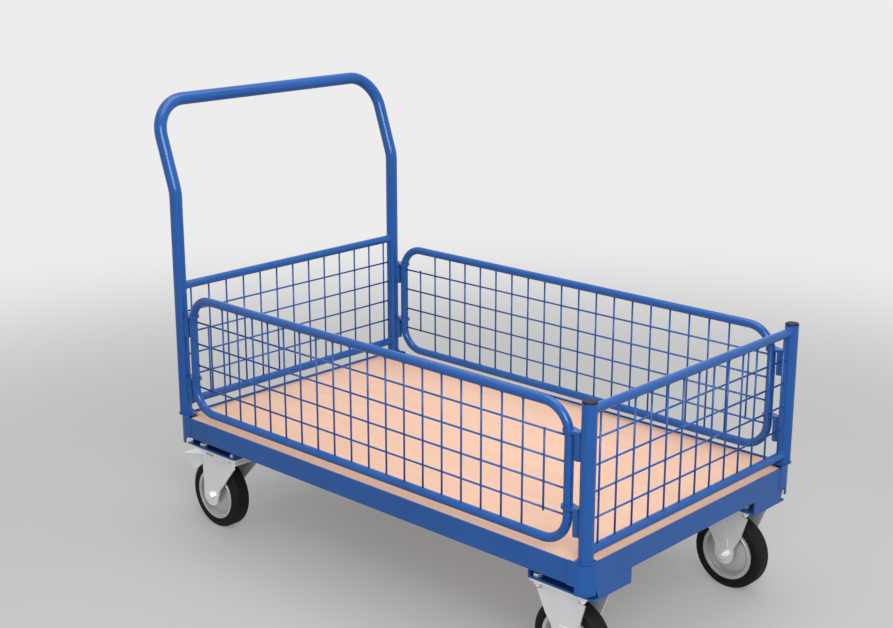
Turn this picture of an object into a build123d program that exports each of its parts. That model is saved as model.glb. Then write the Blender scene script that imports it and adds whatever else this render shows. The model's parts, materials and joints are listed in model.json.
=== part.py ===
from build123d import *
from math import cos, pi, radians, sin, sqrt
import os

os.makedirs("parts", exist_ok=True)

# Platform trolley with a handle frame, a front frame and two lift-out side panels.
# Millimetres, floor at z = 0, handle end towards -X, near side towards -Y.

# Platform
platform_length = 1175.0
platform_width = 690.0
bracket_drop = 30.0
rail_height = 46.0
rail_wall = 4.0
rail_flange = 40.0
corner_wall = 2.5
corner_radius = 28.0
corner_leg = 45.0
corner_below = 16.0
corner_above = 3.0
seat_plate = 3.0
seat_reach = 33.0
bearer_height = 23.0
bearer_width = 40.0
bearer_wall = 3.0
board_thickness = 15.0
board_gap = 1.0
notch_gap = 2.0
weld_gap = 1.0
board_screw_inset = 165.0
board_screw_d = 5.0
board_screw_length = 14.0
board_screw_head_d = 10.0
board_screw_head = 3.5
cut_over = 1.0

# Castor brackets
bracket_wall = 4.0
bracket_margin = 15.0
bracket_side_inset = 25.0
bracket_web_inset = 41.0
bracket_width = 112.0

# Posts, handle and panels
post_inset = 15.0
post_d = 28.0
post_wall = 2.0
foot_d = 33.0
foot_plate = 3.0
plug_length = 32.0
foot_bolt_d = 8.0
foot_bolt_head_d = 13.0
foot_bolt_length = 22.0
foot_bolt_key = 6.0
panel_tube_d = 18.0
panel_tube_wall = 1.5
wire_d = 4.0
wire_pitch = 50.0
wire_sink = 0.2
front_gap = 18.0
front_panel_height = 264.0
front_overrun = 14.0
cap_height = 4.0
cap_round = 3.0
cap_plug = 14.0
handle_gap = 28.0
handle_panel_height = 269.0
handle_kink_z = 787.0
handle_bar_z = 977.0
handle_lean = 65.0
handle_bend = 78.0
handle_kink_bend = 80.0
side_gap = 19.0
side_panel_height = 260.0
side_panel_inset = 42.5
side_bend = 56.0
seam = 1.0
sleeve_d = 16.0
sleeve_length = 48.0
sleeve_bite = 0.5
sleeve_tops = (90.0, 233.0)
hook_pin_d = 10.0
hook_pin_length = 44.0
hook_plate = 6.0
hook_rim = 4.0

# Castors
front_castor_inset = 88.0
rear_castor_inset = 99.5
castor_inset_y = 77.0
top_plate_length = 137.0
top_plate_width = 105.0
top_plate_thickness = 4.0
top_plate_corner = 8.0
hole_spacing_x = 105.0
hole_spacing_y = 80.0
castor_hole_d = 11.0
castor_bolt_d = 10.0
castor_bolt_af = 16.0
castor_bolt_head = 6.4
castor_nut = 8.0
castor_bolt_end = 13.0
wheel_d = 160.0
wheel_gap = 15.0
tyre_width = 40.0
tyre_depth = 26.0
tyre_shoulder = 9.0
rim_flange = 5.0
rim_wall = 2.5
rim_width = 34.0
rim_dish = 7.0
rim_step = 1.0
hub_d = 30.0
hub_length = 50.0
spacer_d = 18.0
axle_d = 12.0
axle_af = 18.0
axle_head = 7.5
axle_nut = 10.0
axle_tail = 3.0
leg_gap = 54.0
leg_wall = 4.0
leg_straight = 36.0
fixed_top_half = 42.0
fixed_wide_half = 56.0
fixed_relief = 2.0
fixed_relief_fall = 4.0
fixed_mid_half = 40.0
fixed_mid_up = 50.0
fixed_waist_up = 18.0
fixed_foot_r = 22.0
fixed_flare = 11.0
rib_width = 16.0
rib_height = 2.0
trail = 48.0
race_height = 15.0
race_outer_d = 90.0
race_wall = 3.0
ball_d = 10.0
ball_count = 16
ball_circle_d = 64.0
crown_thickness = 6.0
crown_front = 45.0
swivel_foot_r = 25.0
swivel_flare = 5.0
fork_toe = 8.0
fork_toe_up = 20.0
king_pin_d = 14.0
king_head_d = 26.0
king_head = 10.0
pedal_pivot_back = 62.0
pedal_pivot_drop = 33.0
pedal_pin_d = 8.0
pedal_boss_d = 12.0
pedal_width = 50.0
pedal_wall = 3.0
pedal_end_back = 157.0
pedal_slope = 12.0
pedal_press = 8.0
cheek_setback = 8.0
cheek_end_drop = 6.0
cheek_belly = 53.0
cheek_depth = 34.0
shoe_start = 16.0
shoe_end = 40.0
shoe_depth = 20.0

# Clearances
running_gap = 0.05
slip_gap = 0.4
free_gap = 0.3
thread_gap = 0.05
bolt_gap = 0.5

# Derived levels
axle_z = wheel_d / 2
crown_under = wheel_d + wheel_gap
crown_top = crown_under + crown_thickness
plate_under = crown_top + race_height
castor_height = plate_under + top_plate_thickness
pedal_pivot_z = castor_height - pedal_pivot_drop
rail_bottom = castor_height + bracket_drop
frame_top = rail_bottom + rail_height
bearer_bottom = rail_bottom + rail_wall
board_bottom = bearer_bottom + bearer_height
board_top = board_bottom + board_thickness
corner_top = frame_top + corner_above
corner_bottom = rail_bottom - corner_below
tube_bottom = corner_top + foot_plate

# Derived places, all measured from the middle of the platform
end_x = platform_length / 2
side_y = platform_width / 2
post_x = end_x - post_inset
post_y = side_y - post_inset
rail_x = end_x - corner_wall
rail_y = side_y - corner_wall
castor_x = {"front": end_x - front_castor_inset, "rear": rear_castor_inset - end_x}
castor_y = side_y - castor_inset_y
post_r = post_d / 2
tube_r = panel_tube_d / 2
wire_r = wire_d / 2
upright_x = post_x - side_panel_inset
sleeve_x = post_x - post_r - sleeve_d / 2 + sleeve_bite
back_reach = post_x + handle_lean + post_r
front_reach = max(end_x, post_x + foot_d / 2)
base_shift = (back_reach - front_reach) / 2

ends = {"front": 1, "rear": -1}
sides = {"near": -1, "far": 1}
bottom = (Align.CENTER, Align.CENTER, Align.MIN)


def save(name, *solids):
    """Write one node, moved so that the whole trolley is centred over the origin."""
    moved = [Pos(base_shift, 0, 0) * one for shape in solids for one in shape.solids()]
    export_step(moved[0] if len(moved) == 1 else Compound(moved), f"parts/{name}.step")


def block(x0, x1, y0, y1, z0, z1):
    """A box between two corners given in any order."""
    size = (abs(x1 - x0), abs(y1 - y0), abs(z1 - z0))
    return Pos((x0 + x1) / 2, (y0 + y1) / 2, (z0 + z1) / 2) * Box(*size)


def rod(start, end, radius, seam=None):
    """A round bar between two points; seam is the side that its seam line is turned to."""
    run = Vector(*end) - Vector(*start)
    return extrude(Plane(origin=start, x_dir=seam, z_dir=run) * Circle(radius), run.length)


def stand(x, y, z0, z1, radius):
    """An upright round bar."""
    return rod((x, y, z0), (x, y, z1), radius)


def hexagon(across_flats, height):
    """A hexagon bar from z = 0 upwards."""
    return extrude(RegularPolygon(across_flats / 2, 6, major_radius=False), height)


def across(profile, y0, y1):
    """A profile drawn in x and z, given thickness from y0 to y1."""
    plane = Plane((0, y1, 0), x_dir=(1, 0, 0), z_dir=(0, -1, 0))
    return extrude(plane * profile, y1 - y0, dir=(0, -1, 0))


def along(profile, x0, x1):
    """A profile drawn in y and z, given length from x0 to x1."""
    plane = Plane((x0, 0, 0), x_dir=(0, 1, 0), z_dir=(1, 0, 0))
    return extrude(plane * profile, x1 - x0, dir=(1, 0, 0))


def at_corners(solid, x, y):
    """The same solid at four places about the middle."""
    return [Pos(sx * x, sy * y, 0) * solid for sx in (-1, 1) for sy in (-1, 1)]


# Rails, corners and bearers
def side_rail(side):
    end = end_x - corner_radius - notch_gap
    outer = side * rail_y
    web = block(-end, end, outer, outer - side * rail_wall, rail_bottom, frame_top)
    flange = block(-end, end, outer, outer - side * rail_flange, rail_bottom, bearer_bottom)
    return web + flange


def end_rail(end):
    reach = side_y - corner_radius - notch_gap
    inner = rail_y - rail_flange - weld_gap
    outer = end * rail_x
    web = block(outer, outer - end * rail_wall, -reach, reach, rail_bottom, frame_top)
    flange = block(outer, outer - end * rail_flange, -inner, inner, rail_bottom, bearer_bottom)
    return web + flange


def corner_part(plan, z0, z1, end, side, reach):
    """One corner of a plan that runs right round the platform, from z0 to z1."""
    whole = Pos(0, 0, z0) * extrude(plan, z1 - z0)
    return whole & block(end * (end_x - reach), end * (end_x + cut_over),
                         side * (side_y - reach), side * (side_y + cut_over), 0, corner_top + cut_over)


def corner_piece(end, side):
    """Wall over the rail ends, a rounded skirt below them and the seat of the post."""
    outline = RectangleRounded(platform_length, platform_width, corner_radius)
    rim = outline - RectangleRounded(2 * rail_x, 2 * rail_y, corner_radius - corner_wall)
    shape = corner_part(rim, rail_bottom, corner_top, end, side, corner_leg)
    shape += corner_part(rim, corner_bottom, rail_bottom, end, side, corner_radius)
    shape += corner_part(outline, corner_top - seat_plate, corner_top, end, side, seat_reach)
    return shape - stand(end * post_x, side * post_y, 0, corner_top + cut_over, foot_bolt_d / 2 + bolt_gap)


def bearer(x, half):
    tube = block(x - bearer_width / 2, x + bearer_width / 2, -half, half, bearer_bottom, board_bottom)
    tube -= block(x - bearer_width / 2 + bearer_wall, x + bearer_width / 2 - bearer_wall, -half, half,
                  bearer_bottom + bearer_wall, board_bottom - bearer_wall)
    return tube


full_half = rail_y - rail_wall - board_gap
short_half = rail_y - rail_flange - weld_gap
bracket_x = {name: castor_x[name] - end * (hole_spacing_x / 2 + bracket_margin) for name, end in ends.items()}
bearer_places = {0.0: full_half}
for name, end in ends.items():
    bearer_places[bracket_x[name] + end * (bearer_width / 2 - 2 * bracket_wall)] = full_half
    bearer_places[end * (rail_x - rail_wall - board_gap - bearer_width / 2)] = short_half
screw_y = side_y - board_screw_inset
screw_spots = [(x, turn * screw_y) for x in bearer_places for turn in (-1, 1)]

screw_r = board_screw_d / 2
screw_head_r = board_screw_head_d / 2
screw_seat = board_bottom - bearer_wall
screw_tip = screw_seat + board_screw_length
screw = stand(0, 0, screw_seat, screw_tip, screw_r)
screw += stand(0, 0, screw_seat - board_screw_head, screw_seat, screw_head_r)
screw_way = stand(0, 0, screw_seat - cut_over, screw_tip + free_gap, screw_r + thread_gap)
driver_way = stand(0, 0, 0, bearer_bottom + bearer_wall + cut_over, screw_head_r + bolt_gap)
screw_ways = [Pos(x, y, 0) * way for x, y in screw_spots for way in (screw_way, driver_way)]

bearers = [bearer(x, half) - screw_ways for x, half in bearer_places.items()]

board_x = rail_x - rail_wall - board_gap
board_y = rail_y - rail_wall - board_gap
board = block(-board_x, board_x, -board_y, board_y, board_bottom, board_top)
notch = seat_reach + notch_gap
board -= [block(sx * (end_x - notch), sx * end_x, sy * (side_y - notch), sy * side_y, 0, board_top + cut_over)
          for sx in (-1, 1) for sy in (-1, 1)]
board -= screw_ways

for name, side in sides.items():
    save(f"{name}_side_rail", side_rail(side))
for name, end in ends.items():
    save(f"{name}_end_rail", end_rail(end) - screw_ways)
    for flank, side in sides.items():
        save(f"{name}_{flank}_corner", corner_piece(end, side))
save("deck_bearers", *bearers)
save("deck_board", board)
save("deck_screws", *[Pos(x, y, 0) * screw for x, y in screw_spots])


# Castor brackets and their bolts
hole_x = hole_spacing_x / 2
hole_y = hole_spacing_y / 2
castor_holes = at_corners(stand(0, 0, 0, rail_bottom, castor_hole_d / 2), hole_x, hole_y)


def castor_bracket(name, side):
    end = ends[name]
    y1 = side * (side_y - bracket_side_inset)
    y0 = y1 - side * bracket_width
    outer = end * rail_x
    inner = bracket_x[name]
    floor_top = castor_height + bracket_wall
    shape = block(inner, outer, y0, y1, castor_height, floor_top)
    web_low = side * (side_y - bracket_web_inset)
    web_high = side * (side_y - corner_radius - weld_gap)
    web = Polygon((y0, castor_height), (web_low, castor_height), (web_high, rail_bottom), (y0, rail_bottom),
                  align=None)
    shape += along(web, *sorted((outer, outer - end * bracket_wall)))
    shape += block(inner, inner + end * bracket_wall, y0, y1, castor_height, bearer_bottom)
    clear = rail_y - rail_flange - weld_gap
    shape -= block(inner, inner + end * bracket_wall, side * clear, side * side_y, rail_bottom, bearer_bottom)
    return shape - [Pos(castor_x[name], side * castor_y, 0) * hole for hole in castor_holes]


bolt_top = castor_height + bracket_wall
bolt_end = plate_under - castor_bolt_end
castor_bolt = stand(0, 0, bolt_end, bolt_top, castor_bolt_d / 2)
castor_bolt += Pos(0, 0, bolt_top) * hexagon(castor_bolt_af, castor_bolt_head)
nut_bottom = plate_under - castor_nut
castor_nut_solid = Pos(0, 0, nut_bottom) * hexagon(castor_bolt_af, castor_nut)
castor_nut_solid -= stand(0, 0, 0, castor_height, castor_bolt_d / 2 + thread_gap)
castor_bolts = []
castor_nuts = []
for name in ends:
    save(f"{name}_castor_brackets", *[castor_bracket(name, side) for side in sides.values()])
    for side in sides.values():
        spot = Pos(castor_x[name], side * castor_y, 0)
        castor_bolts += [spot * one for one in at_corners(castor_bolt, hole_x, hole_y)]
        castor_nuts += [spot * one for one in at_corners(castor_nut_solid, hole_x, hole_y)]
save("castor_bolts", *castor_bolts)
save("castor_nuts", *castor_nuts)


# Posts, handle and end panels
def mesh(uprights, levels):
    """Crossed wires welded in two layers, upright wires in front; drawn in the x and z plane."""
    off = wire_r - wire_sink / 2
    wires = [rod((x, -off, z0), (x, -off, z1), wire_r, (0, -1, 0)) for x, z0, z1 in uprights]
    wires += [rod((x0, off, z), (x1, off, z), wire_r, (0, 1, 0)) for z, x0, x1 in levels]
    return wires[0] + wires[1:]


def four_levels(middle):
    return [middle + step * wire_pitch for step in (-1.5, -0.5, 0.5, 1.5)]


def end_panel(end, z0, z1):
    """Two tubes between the uprights of one end and the wires welded between them."""
    place = Pos(end * post_x, 0, 0)
    posts = [stand(0, turn * post_y, 0, handle_bar_z, post_r) for turn in (-1, 1)]
    cores = [rod((0, -post_y, z), (0, post_y, z), tube_r) for z in (z0, z1)]
    bores = [rod((0, -post_y, z), (0, post_y, z), tube_r - panel_tube_wall) for z in (z0, z1)]
    low, high = [core - posts - bore for core, bore in zip(cores, bores)]
    count = int((post_y - post_r) // wire_pitch)
    uprights = [(step * wire_pitch, z0, z1) for step in range(-count, count + 1)]
    levels = [(z, -post_y, post_y) for z in four_levels((z0 + z1) / 2)]
    wires = Rot(0, 0, end * 90) * mesh(uprights, levels)
    return place * low, place * high, place * (wires - posts - cores)


front_low = corner_top + front_gap
front_high = front_low + front_panel_height
front_post_top = front_high + front_overrun
low, high, wires = end_panel(1, front_low, front_high)
save("front_bottom_tube", low)
save("front_top_tube", high)
save("front_mesh", wires)
caps = []
for flank, side in sides.items():
    post = stand(post_x, side * post_y, tube_bottom, front_post_top, post_r)
    post -= stand(post_x, side * post_y, tube_bottom, front_post_top, post_r - post_wall)
    save(f"front_{flank}_post", post)
    dome = Pos(post_x, side * post_y, front_post_top) * Cylinder(post_r, cap_height, align=bottom)
    dome = fillet(dome.edges().sort_by(Axis.Z)[-1], cap_round)
    plug = stand(post_x, side * post_y, front_post_top - cap_plug, front_post_top,
                 post_r - post_wall - thread_gap)
    caps.append(dome + plug)
save("post_caps", *caps)

handle_low = corner_top + handle_gap
handle_high = handle_low + handle_panel_height
low, high, wires = end_panel(-1, handle_low, handle_high)
save("handle_bottom_tube", low)
save("handle_top_tube", high)
save("handle_mesh", wires)
handle_path = FilletPolyline(
    (-post_x, -post_y, tube_bottom),
    (-post_x, -post_y, handle_kink_z),
    (-post_x - handle_lean, -post_y, handle_bar_z),
    (-post_x - handle_lean, post_y, handle_bar_z),
    (-post_x, post_y, handle_kink_z),
    (-post_x, post_y, tube_bottom),
    radius=[handle_kink_bend, handle_bend, handle_bend, handle_kink_bend])
handle_start = Plane((-post_x, -post_y, tube_bottom))
handle = sweep(handle_start * Circle(post_r), path=handle_path)
handle -= sweep(handle_start * Circle(post_r - post_wall), path=handle_path)
save("handle_tube", handle)

plug_r = post_r - post_wall - thread_gap
foot = Pos(0, 0, corner_top) * Cylinder(foot_d / 2, foot_plate, align=bottom)
foot += stand(0, 0, corner_top, tube_bottom + plug_length, plug_r)
foot -= stand(0, 0, 0, corner_top + foot_bolt_length, foot_bolt_d / 2 + thread_gap)
foot_seat = corner_top - seat_plate
foot_bolt = stand(0, 0, foot_seat - foot_bolt_d, foot_seat, foot_bolt_head_d / 2)
foot_bolt += stand(0, 0, foot_seat, foot_seat + foot_bolt_length, foot_bolt_d / 2)
foot_bolt -= Pos(0, 0, foot_seat - foot_bolt_d) * hexagon(foot_bolt_key, foot_bolt_d / 2)
save("post_feet", *at_corners(foot, post_x, post_y))
save("post_bolts", *at_corners(foot_bolt, post_x, post_y))


# Lift-out side panels and the sleeves that hold them
def sleeves():
    pieces = []
    for top in sleeve_tops:
        z = corner_top + top
        ring = stand(sleeve_x, post_y, z - sleeve_length, z, sleeve_d / 2)
        ring -= stand(sleeve_x, post_y, z - sleeve_length, z, hook_pin_d / 2 + slip_gap)
        ring -= stand(post_x, post_y, 0, handle_kink_z, post_r)
        pieces.append(ring)
    ring_pair = [mirror(one, about=Plane.YZ) for one in pieces] + pieces
    return ring_pair + [mirror(one, about=Plane.XZ) for one in ring_pair]


save("hook_sleeves", *sleeves())


def side_panel():
    """Frame, wires and hooks of a side panel, drawn in the plane y = 0 with its outside to -Y."""
    z0 = corner_top + side_gap
    z1 = z0 + side_panel_height
    middle = (z0 + z1) / 2
    loop = FilletPolyline((0, 0, z0), (upright_x, 0, z0), (upright_x, 0, z1), (-upright_x, 0, z1),
                          (-upright_x, 0, z0), (-seam, 0, z0), radius=[side_bend] * 4)
    start = Plane((0, 0, z0), x_dir=(0, 1, 0), z_dir=(1, 0, 0))
    solid = sweep(start * Circle(tube_r), path=loop)
    bore = sweep(start * Circle(tube_r - panel_tube_wall), path=loop)
    link = rod((-seam, 0, z0), (0, 0, z0), tube_r)
    link_bore = rod((-seam, 0, z0), (0, 0, z0), tube_r - panel_tube_wall)
    core = solid + link
    count = int((upright_x - side_bend) // wire_pitch + 1)
    outer = (count - 0.5) * wire_pitch
    levels = four_levels(middle)
    uprights = []
    for step in range(2 * count):
        x = step * wire_pitch - outer
        short = step in (0, 2 * count - 1)
        uprights.append((x, levels[0] - wire_d, levels[-1] + wire_d) if short else (x, z0, z1))
    net = mesh(uprights, [(z, -upright_x, upright_x) for z in levels]) - core
    hooks = []
    for top in sleeve_tops:
        z = corner_top + top
        reach = sleeve_x - upright_x
        big = tube_r + hook_rim
        small = post_x - post_r - slip_gap - sleeve_x
        plan = Circle(big) + Pos(reach, 0) * Circle(small)
        plan += Polygon((0, -big), (reach, -small), (reach, small), (0, big), align=None)
        ear = Pos(upright_x, 0, z) * extrude(plan, hook_plate)
        ear += stand(sleeve_x, 0, z - hook_pin_length, z, hook_pin_d / 2)
        hooks.append(ear - core)
    hooks += [mirror(one, about=Plane.YZ) for one in hooks]
    return core - bore - link_bore, net, hooks


panel_frame, panel_net, panel_hooks = side_panel()
for flank, side in sides.items():
    place = Pos(0, side * post_y, 0)
    panel_turn = Rot(0, 0, 90 + side * 90)
    save(f"{flank}_panel_frame", place * panel_turn * panel_frame)
    save(f"{flank}_panel_mesh", place * panel_turn * panel_net)
    save(f"{flank}_panel_hooks", *[place * panel_turn * one for one in panel_hooks])


# Wheels, drawn about their own middle with the axle along Y
half_rim = rim_width / 2
half_tyre = tyre_width / 2
wheel_r = wheel_d / 2
rim_r = wheel_r - tyre_depth
shoulder_x = wheel_r - tyre_shoulder
shoulder_y = half_tyre - tyre_shoulder
tyre_outline = Polyline((rim_r, -half_rim), (rim_r + rim_flange, -half_rim), (rim_r + rim_flange, -half_tyre),
                        (shoulder_x, -half_tyre))
tyre_outline += RadiusArc((shoulder_x, -half_tyre), (wheel_r, -shoulder_y), tyre_shoulder)
tyre_outline += Line((wheel_r, -shoulder_y), (wheel_r, shoulder_y))
tyre_outline += RadiusArc((wheel_r, shoulder_y), (shoulder_x, half_tyre), tyre_shoulder)
tyre_outline += Polyline((shoulder_x, half_tyre), (rim_r + rim_flange, half_tyre),
                         (rim_r + rim_flange, half_rim), (rim_r, half_rim), (rim_r, -half_rim))
tyre = revolve(make_face(tyre_outline), Axis.Y)

hub_r = hub_d / 2
seat_in = rim_r - rim_wall
half_disc_points = [
    (rim_r, 0), (rim_r, half_rim), (rim_r + rim_flange, half_rim),
    (rim_r + rim_flange, half_rim + rim_wall), (seat_in, half_rim + rim_wall), (seat_in, rim_dish + rim_wall),
    (hub_r + rim_dish, half_rim), (hub_r, half_rim), (hub_r, half_rim - rim_wall),
    (hub_r + rim_dish - rim_step, half_rim - rim_wall), (seat_in - rim_step, rim_dish),
    (seat_in, rim_dish - rim_step), (seat_in, 0)]
half_disc = revolve(make_face(Polyline(*half_disc_points, close=True)), Axis.Y)
hub = rod((0, -hub_length / 2, 0), (0, hub_length / 2, 0), hub_r)
hub -= rod((0, -hub_length / 2, 0), (0, hub_length / 2, 0), spacer_d / 2 + running_gap)
rim_set = [half_disc, mirror(half_disc, about=Plane.XZ), hub]

# Axles
leg_in = leg_gap / 2
leg_out = leg_in + leg_wall
hex_turn = Rot(90, 0, 0)
axle_bolt = rod((0, -leg_out, 0), (0, leg_out + axle_nut + axle_tail, 0), axle_d / 2)
axle_bolt += Pos(0, -leg_out, 0) * hex_turn * hexagon(axle_af, axle_head)
axle_nut_solid = Pos(0, leg_out + axle_nut, 0) * hex_turn * hexagon(axle_af, axle_nut)
axle_nut_solid -= rod((0, leg_out, 0), (0, leg_out + axle_nut, 0), axle_d / 2 + thread_gap)
near_axle = [axle_bolt, axle_nut_solid]
axle_sets = {"near": near_axle, "far": [mirror(one, about=Plane.XZ) for one in near_axle]}
axle_spacer = rod((0, -leg_in, 0), (0, leg_in, 0), spacer_d / 2)
axle_spacer -= rod((0, -leg_in, 0), (0, leg_in, 0), axle_d / 2 + thread_gap)


def top_plate():
    plan = RectangleRounded(top_plate_length, top_plate_width, top_plate_corner)
    plate = Pos(0, 0, plate_under) * extrude(plan, top_plate_thickness)
    return plate - castor_holes


def folded_legs(profile, flare, top):
    """Two pressed legs: straight beside the wheel, then leaning apart towards the top."""
    bend = axle_z + leg_straight
    sheet = Polygon((leg_in, 0), (leg_out, 0), (leg_out, bend), (leg_out + flare, top),
                    (leg_in + flare, top), (leg_in, bend), align=None)
    far_leg = along(sheet, -wheel_d, wheel_d) & across(profile, 0, wheel_d)
    return [far_leg, mirror(far_leg, about=Plane.XZ)]


def axle_way(x):
    return rod((x, -wheel_d, axle_z), (x, wheel_d, axle_z), axle_d / 2 + thread_gap)


# Fixed castors at the front
def fixed_bracket():
    """Top plate and two legs that widen upwards, cut back at the top beside the bolts."""
    relief_z = bolt_end - fixed_relief
    side = [(fixed_foot_r, axle_z), (fixed_foot_r, axle_z + fixed_waist_up),
            (fixed_mid_half, axle_z + fixed_mid_up), (fixed_wide_half, relief_z - fixed_relief_fall),
            (fixed_top_half, relief_z), (fixed_top_half, plate_under)]
    profile = Polygon(*side, *[(-x, z) for x, z in reversed(side)], align=None)
    profile += Pos(0, axle_z) * Circle(fixed_foot_r)
    rib_z = axle_z + axle_af
    rib = block(-rib_width / 2, rib_width / 2, leg_in, leg_out + rib_height, rib_z, axle_z + leg_straight)
    shape = top_plate() + folded_legs(profile, fixed_flare, plate_under)
    shape += [rib, mirror(rib, about=Plane.XZ)]
    return shape - axle_way(0)


fixed = fixed_bracket()
front_spots = {flank: Pos(castor_x["front"], side * castor_y, 0) for flank, side in sides.items()}
at_axle = Pos(0, 0, axle_z)
for flank, spot in front_spots.items():
    save(f"front_{flank}_castor", spot * fixed)
    save(f"front_{flank}_tyre", spot * at_axle * tyre)
    save(f"front_{flank}_rim", *[spot * at_axle * one for one in rim_set])
save("front_axle_fasteners", *[spot * at_axle * one for flank, spot in front_spots.items()
                               for one in axle_sets[flank]])
save("front_axle_spacers", *[spot * at_axle * axle_spacer for spot in front_spots.values()])


# Swivel castors at the handle end, drawn about the king pin with the wheel trailing to -X
race_r = race_outer_d / 2
ball_z = crown_top + ball_d / 2
back_wheel = Pos(-trail, 0, axle_z)


def swivel_plate():
    shape = top_plate()
    shape += stand(0, 0, crown_top + 2 * free_gap, plate_under, race_r)
    shape -= stand(0, 0, 0, plate_under, race_r - race_wall)
    track = ball_circle_d / 2
    ring = stand(0, 0, crown_top + ball_d + free_gap, plate_under, track + ball_d / 2)
    shape += ring - stand(0, 0, 0, plate_under, track - ball_d / 2)
    return shape - stand(0, 0, 0, castor_height, king_pin_d / 2)


def swivel_fork():
    edge = [(-trail - swivel_foot_r, axle_z), (-trail - swivel_foot_r, crown_top), (crown_front, crown_top),
            (crown_front, crown_under - crown_thickness),
            (-trail + swivel_foot_r + fork_toe, axle_z + fork_toe_up), (-trail + swivel_foot_r, axle_z)]
    profile = Polygon(*edge, align=None) + Pos(-trail, axle_z) * Circle(swivel_foot_r)
    half = leg_out + swivel_flare
    crown = block(-trail - swivel_foot_r, crown_front, -half, half, crown_under, crown_top)
    crown = fillet(crown.edges().filter_by(Axis.Z), swivel_flare + leg_wall)
    shape = crown + folded_legs(profile, swivel_flare, crown_top)
    shape &= fillet(block(-trail - swivel_foot_r, crown_front, -half, half, 0, crown_top)
                    .edges().filter_by(Axis.Z), swivel_flare + leg_wall)
    pivot = rod((-pedal_pivot_back, -wheel_d, pedal_pivot_z), (-pedal_pivot_back, wheel_d, pedal_pivot_z),
                pedal_pin_d / 2 + running_gap)
    return shape - stand(0, 0, 0, castor_height, king_pin_d / 2 + running_gap) - axle_way(-trail) - pivot


def brake_pedal():
    """Pressed pedal with side cheeks beside the tyre, a shoe above it and a pivot pin."""
    half = pedal_width / 2
    slope = radians(pedal_slope)
    length = (pedal_end_back - pedal_pivot_back) / cos(slope)
    rise = pedal_pin_d / 2
    top = rise + pedal_wall

    def spot(out, up):
        back = -pedal_pivot_back - out * cos(slope) - up * sin(slope)
        return (back, pedal_pivot_z - out * sin(slope) + up * cos(slope))

    plate = across(Polygon(spot(0, rise), spot(length, rise), spot(length, top),
                           spot(0, top), align=None), -half, half)
    cheek_end = length - cheek_setback
    cheek_profile = Polygon(spot(0, top), spot(cheek_end, top), spot(cheek_end, rise - cheek_end_drop),
                            spot(cheek_belly, rise - cheek_depth), spot(0, -rise), align=None)
    cheeks = [across(cheek_profile, half - pedal_wall, half), across(cheek_profile, -half, pedal_wall - half)]
    shoe = across(Polygon(spot(shoe_start, top), spot(shoe_end, top), spot(shoe_end, -shoe_depth),
                          spot(shoe_start, -shoe_depth), align=None), -half + pedal_wall, half - pedal_wall)
    shoe -= rod((-trail, -half, axle_z), (-trail, half, axle_z), wheel_r + shoe_gap)
    pin_half = leg_out + swivel_flare
    boss = rod((-pedal_pivot_back, -half, pedal_pivot_z), (-pedal_pivot_back, half, pedal_pivot_z),
               pedal_boss_d / 2)
    pin = rod((-pedal_pivot_back, -pin_half, pedal_pivot_z), (-pedal_pivot_back, pin_half, pedal_pivot_z),
              pedal_pin_d / 2)
    return plate + cheeks + [shoe, boss, pin]


shoe_gap = sqrt(shoe_end ** 2 + shoe_depth ** 2) * sin(radians(pedal_press)) + free_gap
plate_swivel = swivel_plate()
fork = swivel_fork()
pedal = brake_pedal()
king_pin = stand(0, 0, crown_under - free_gap, castor_height, king_pin_d / 2)
king_pin += stand(0, 0, crown_under - free_gap - king_head, crown_under - free_gap, king_head_d / 2)
balls = []
for step in range(ball_count):
    angle = 2 * pi * step / ball_count
    reach = ball_circle_d / 2
    balls.append(Pos(reach * cos(angle), reach * sin(angle), ball_z) * Sphere(ball_d / 2))

rear_spots = {flank: Pos(castor_x["rear"], side * castor_y, 0) for flank, side in sides.items()}
for flank, spot in rear_spots.items():
    save(f"rear_{flank}_plate", spot * plate_swivel)
    save(f"rear_{flank}_fork", spot * fork)
    save(f"rear_{flank}_balls", *[spot * one for one in balls])
    save(f"rear_{flank}_axle_fasteners", *[spot * back_wheel * one for one in axle_sets[flank]])
    save(f"rear_{flank}_axle_spacer", spot * back_wheel * axle_spacer)
    save(f"rear_{flank}_tyre", spot * back_wheel * tyre)
    save(f"rear_{flank}_rim", *[spot * back_wheel * one for one in rim_set])
    save(f"rear_{flank}_pedal", spot * pedal)
save("king_pins", *[spot * king_pin for spot in rear_spots.values()])
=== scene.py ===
import json
from math import cos, pi, radians, sin, sqrt

import bmesh
import bpy
from bpy.props import FloatProperty, FloatVectorProperty, IntProperty, PointerProperty
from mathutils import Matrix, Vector


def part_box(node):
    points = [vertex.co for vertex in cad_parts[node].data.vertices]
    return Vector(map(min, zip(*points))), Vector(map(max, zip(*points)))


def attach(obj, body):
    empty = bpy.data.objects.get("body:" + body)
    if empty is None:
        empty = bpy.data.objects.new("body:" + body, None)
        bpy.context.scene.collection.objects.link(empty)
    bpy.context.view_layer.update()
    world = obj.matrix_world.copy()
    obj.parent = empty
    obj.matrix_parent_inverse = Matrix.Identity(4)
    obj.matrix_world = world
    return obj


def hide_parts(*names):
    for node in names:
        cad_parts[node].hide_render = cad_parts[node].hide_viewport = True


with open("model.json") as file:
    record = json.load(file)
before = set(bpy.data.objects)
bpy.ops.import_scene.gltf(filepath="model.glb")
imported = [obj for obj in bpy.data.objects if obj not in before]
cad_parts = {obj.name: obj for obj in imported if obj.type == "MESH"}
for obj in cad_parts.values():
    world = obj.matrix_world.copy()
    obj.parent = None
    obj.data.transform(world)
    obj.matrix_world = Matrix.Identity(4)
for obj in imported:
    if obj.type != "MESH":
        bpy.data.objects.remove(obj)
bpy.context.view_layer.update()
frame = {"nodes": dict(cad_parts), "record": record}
cad = frame["nodes"]
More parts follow.
